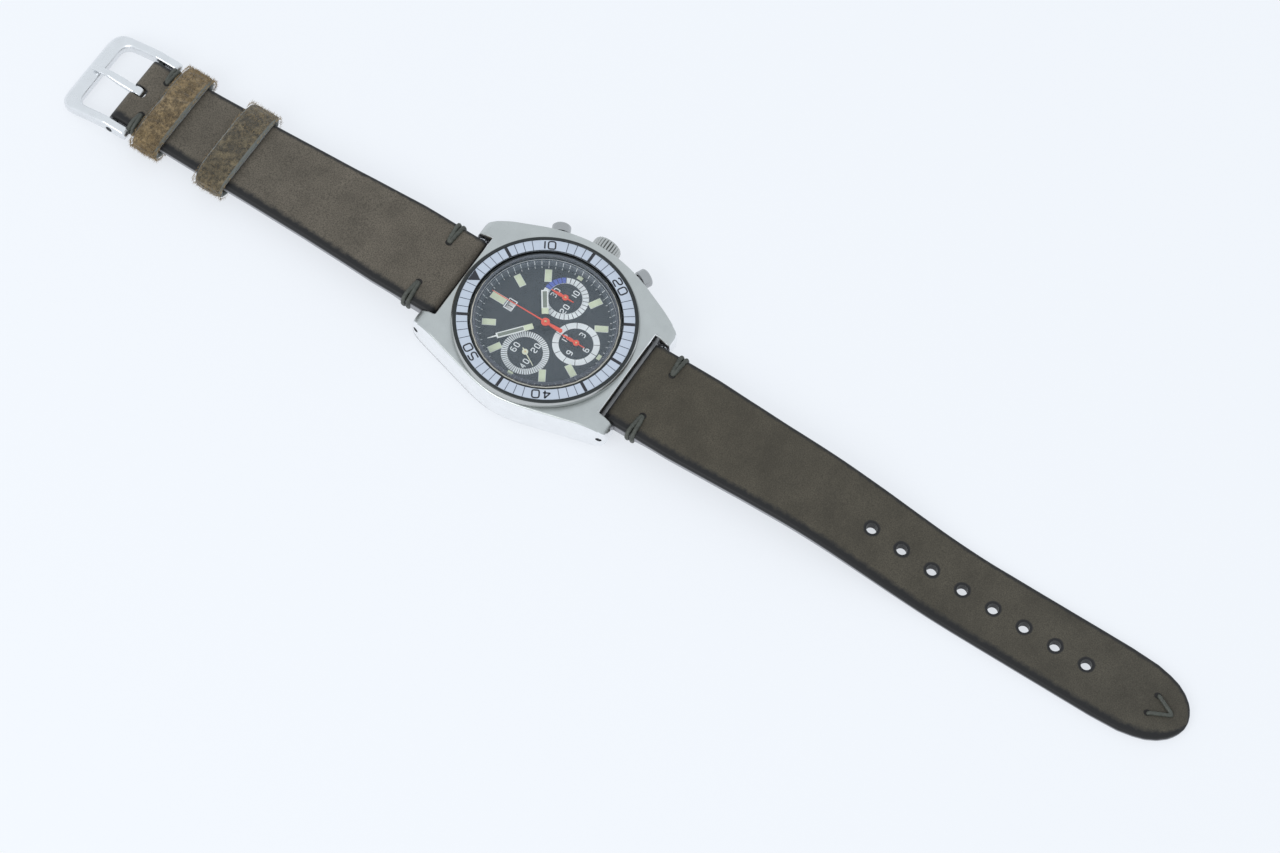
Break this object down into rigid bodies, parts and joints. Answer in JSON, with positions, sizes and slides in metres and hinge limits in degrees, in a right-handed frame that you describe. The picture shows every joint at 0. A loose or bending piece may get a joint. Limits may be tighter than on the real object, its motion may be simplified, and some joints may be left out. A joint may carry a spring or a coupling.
{
  "type": "wristwatch chronograph",
  "caption": "Round three-register wrist chronograph with turning bezel, crown and two stopwatch pushers, on a tapered leather strap with pin buckle and suede keepers.",
  "frame": {"origin": "on the dial's axis at the outer face of the case back, the plane of the table that the watch lies on", "axes": "+Z out of the dial, +Y to 12 o'clock along the strap's short half, +X to the crown at 3 o'clock"},
  "size_m": [0.0417, 0.2535, 0.0124],
  "materials": {
    "brushed_case_steel": "fine circular brushing on top, worn",
    "polished_steel": "polished",
    "bezel_steel": "worn, dark rim",
    "bezel_insert": "satin anodised with black figures",
    "acrylic": "clear domed acrylic",
    "gasket_rubber": "matt",
    "nylon": "matt",
    "dial_black": "matt black paint with white print",
    "date_white": "matt white paint with black figures",
    "brass": "satin",
    "gilt": "polished gilt",
    "blued_steel": "blued",
    "movement_steel": "plain steel",
    "hand_black": "black with a white frame and pale lume",
    "hand_orange": "orange-red paint",
    "hand_cream": "cream paint",
    "strap_leather": "grey-brown nubuck, darker burnished edges",
    "keeper_suede": "olive-brown suede, shaggy"
  },
  "bodies": {
    "case": {"case_middle": "brushed_case_steel", "case_back": "brushed_case_steel", "case_back_gasket": "gasket_rubber", "crystal": "acrylic", "crystal_gasket": "nylon", "rehaut_ring": "dial_black", "dial": "dial_black", "movement_holder": "nylon", "main_plate": "brass", "balance_cock": "movement_steel", "train_bridge": "movement_steel", "barrel_bridge": "movement_steel", "chronograph_bridge": "movement_steel", "mainspring": "blued_steel", "hairspring": "blued_steel", "crown_tube": "movement_steel", "start_pusher_tube": "movement_steel", "reset_pusher_tube": "movement_steel", "start_pusher_spring": "movement_steel", "reset_pusher_spring": "movement_steel", "spring_bar_12": "polished_steel", "spring_bar_6": "polished_steel"},
    "bezel": {"bezel_ring": "bezel_steel", "bezel_insert": "bezel_insert", "bezel_spring": "movement_steel"},
    "winding_pinion": {"winding_pinion": "movement_steel"},
    "crown": {"crown": "brushed_case_steel", "winding_stem": "movement_steel"},
    "ratchet": {"ratchet_wheel": "movement_steel"},
    "start_pusher": {"start_pusher": "polished_steel"},
    "reset_pusher": {"reset_pusher": "polished_steel"},
    "operating_lever": {"operating_lever": "movement_steel"},
    "flyback_lever": {"flyback_lever": "movement_steel"},
    "minutes": {"minute_hand": "hand_black", "cannon_pinion": "movement_steel", "centre_wheel": "brass"},
    "hours": {"hour_hand": "hand_black", "hour_wheel": "brass"},
    "minute_wheel": {"minute_wheel": "brass"},
    "running_seconds": {"running_seconds_hand": "hand_cream", "fourth_wheel": "brass"},
    "third_wheel": {"third_wheel": "brass"},
    "escape_wheel": {"escape_wheel": "movement_steel"},
    "barrel": {"barrel_drum": "brass"},
    "date_ring": {"date_ring": "date_white"},
    "chrono_seconds": {"chrono_seconds_hand": "hand_orange", "chronograph_wheel": "brass"},
    "minute_counter": {"minute_counter_hand": "hand_orange", "minute_counter_wheel": "brass"},
    "hour_counter": {"hour_counter_hand": "hand_orange", "hour_counter_wheel": "brass"},
    "pallet_fork": {"pallet_fork": "movement_steel"},
    "balance": {"balance_wheel": "gilt"},
    "strap_long": {"strap_long": "strap_leather"},
    "strap_short": {"strap_short": "strap_leather", "keeper_fixed": "keeper_suede"},
    "buckle": {"buckle_frame": "polished_steel", "buckle_bar": "polished_steel"},
    "tongue": {"buckle_tongue": "polished_steel"},
    "keeper": {"keeper_floating": "keeper_suede"}
  },
  "joints": [
    {"name": "bezel_turn", "type": "hinge", "parent": "case", "child": "bezel", "pos_m": [0, 0, 0.01], "axis": [0, 0, -1], "continuous": true},
    {"name": "crown_turn", "type": "hinge", "parent": "case", "child": "winding_pinion", "pos_m": [0.0101, 0, 0.0052], "axis": [1, 0, 0], "continuous": true},
    {"name": "crown_pull", "type": "slide", "parent": "winding_pinion", "child": "crown", "axis": [1, 0, 0], "range_m": [0, 0.0012]},
    {"name": "ratchet_turn", "type": "hinge", "parent": "case", "child": "ratchet", "pos_m": [0.00303, 0.00524, 0.0029], "axis": [0, 0, 1], "continuous": true},
    {"name": "start_push", "type": "slide", "parent": "case", "child": "start_pusher", "axis": [-0.9063, -0.4226, 0], "range_m": [0, 0.0008], "stiffness_N_per_m": 1500, "springref_m": -0.0006, "deforming": ["start_pusher_spring"]},
    {"name": "reset_push", "type": "slide", "parent": "case", "child": "reset_pusher", "axis": [-0.9063, 0.4226, 0], "range_m": [0, 0.0008], "stiffness_N_per_m": 1500, "springref_m": -0.0006, "deforming": ["reset_pusher_spring"]},
    {"name": "operating_lever_turn", "type": "hinge", "parent": "case", "child": "operating_lever", "pos_m": [0.0096, 0.0082, 0.0052], "axis": [0, 0, -1], "range_deg": [0, 14.5]},
    {"name": "flyback_lever_turn", "type": "hinge", "parent": "case", "child": "flyback_lever", "pos_m": [0.0096, -0.0082, 0.0052], "axis": [0, 0, 1], "range_deg": [0, 14.5]},
    {"name": "minute_turn", "type": "hinge", "parent": "case", "child": "minutes", "pos_m": [0, 0, 0.0092], "axis": [0, 0, -1], "continuous": true},
    {"name": "hour_turn", "type": "hinge", "parent": "case", "child": "hours", "pos_m": [0, 0, 0.0089], "axis": [0, 0, -1], "continuous": true},
    {"name": "minute_wheel_turn", "type": "hinge", "parent": "case", "child": "minute_wheel", "pos_m": [0.00299, -0.00299, 0.0072], "axis": [0, 0, -1], "continuous": true},
    {"name": "third_wheel_turn", "type": "hinge", "parent": "case", "child": "third_wheel", "pos_m": [-0.00363, -0.00094, 0.0048], "axis": [0, 0, -1], "continuous": true},
    {"name": "running_seconds_turn", "type": "hinge", "parent": "case", "child": "running_seconds", "pos_m": [-0.0071, 0, 0.0085], "axis": [0, 0, -1], "continuous": true},
    {"name": "escape_wheel_turn", "type": "hinge", "parent": "case", "child": "escape_wheel", "pos_m": [-0.00838, -0.00352, 0.0048], "axis": [0, 0, -1], "continuous": true},
    {"name": "barrel_turn", "type": "hinge", "parent": "case", "child": "barrel", "pos_m": [0.00303, 0.00524, 0.0047], "axis": [0, 0, -1], "continuous": true},
    {"name": "date_turn", "type": "hinge", "parent": "case", "child": "date_ring", "pos_m": [0, 0, 0.0074], "axis": [0, 0, -1], "continuous": true},
    {"name": "chrono_seconds_turn", "type": "hinge", "parent": "case", "child": "chrono_seconds", "pos_m": [0, 0, 0.0097], "axis": [0, 0, -1], "continuous": true},
    {"name": "minute_counter_turn", "type": "hinge", "parent": "case", "child": "minute_counter", "pos_m": [0.0071, 0, 0.0085], "axis": [0, 0, -1], "continuous": true},
    {"name": "hour_counter_turn", "type": "hinge", "parent": "case", "child": "hour_counter", "pos_m": [0, -0.0071, 0.0085], "axis": [0, 0, -1], "continuous": true},
    {"name": "pallet_swing", "type": "hinge", "parent": "case", "child": "pallet_fork", "pos_m": [-0.00677, -0.00543, 0.005], "axis": [0, 0, 1], "range_deg": [-6, 6]},
    {"name": "balance_swing", "type": "hinge", "parent": "case", "child": "balance", "pos_m": [-0.0046, -0.008, 0.0042], "axis": [0, 0, 1], "range_deg": [-270, 270], "stiffness_Nm_per_rad": 0.0000001, "deforming": ["hairspring"]},
    {"name": "strap_long_swing", "type": "hinge", "parent": "case", "child": "strap_long", "pos_m": [0, -0.0211, 0.005], "axis": [1, 0, 0], "range_deg": [-20, 75]},
    {"name": "strap_short_swing", "type": "hinge", "parent": "case", "child": "strap_short", "pos_m": [0, 0.0211, 0.005], "axis": [-1, 0, 0], "range_deg": [-20, 75]},
    {"name": "buckle_swing", "type": "hinge", "parent": "strap_short", "child": "buckle", "pos_m": [0, 0.0964, 0.0036], "axis": [1, 0, 0], "range_deg": [-35, 40]},
    {"name": "tongue_swing", "type": "hinge", "parent": "buckle", "child": "tongue", "pos_m": [0, 0.0964, 0.0036], "axis": [1, 0, 0], "range_deg": [0, 60]},
    {"name": "keeper_slide", "type": "slide", "parent": "strap_short", "child": "keeper", "axis": [0, 0.9994, -0.036], "range_m": [-0.0075, 0.008]}
  ],
  "couplings": [
    {"joint": "ratchet_turn", "follows": "crown_turn", "ratio": 0.54546},
    {"joint": "operating_lever_turn", "follows": "start_push", "rad_per_m": 300},
    {"joint": "flyback_lever_turn", "follows": "reset_push", "rad_per_m": 300},
    {"joint": "minute_turn", "follows": "running_seconds_turn", "ratio": 0.016667},
    {"joint": "hour_turn", "follows": "running_seconds_turn", "ratio": 0.0013889},
    {"joint": "minute_wheel_turn", "follows": "running_seconds_turn", "ratio": -0.0055556},
    {"joint": "third_wheel_turn", "follows": "running_seconds_turn", "ratio": -0.13333},
    {"joint": "escape_wheel_turn", "follows": "running_seconds_turn", "ratio": -10},
    {"joint": "barrel_turn", "follows": "running_seconds_turn", "ratio": -0.0027778},
    {"joint": "date_turn", "follows": "running_seconds_turn", "ratio": 0.000022401},
    {"joint": "minute_counter_turn", "follows": "chrono_seconds_turn", "ratio": 0.033333},
    {"joint": "hour_counter_turn", "follows": "chrono_seconds_turn", "ratio": 0.0013889}
  ]
}
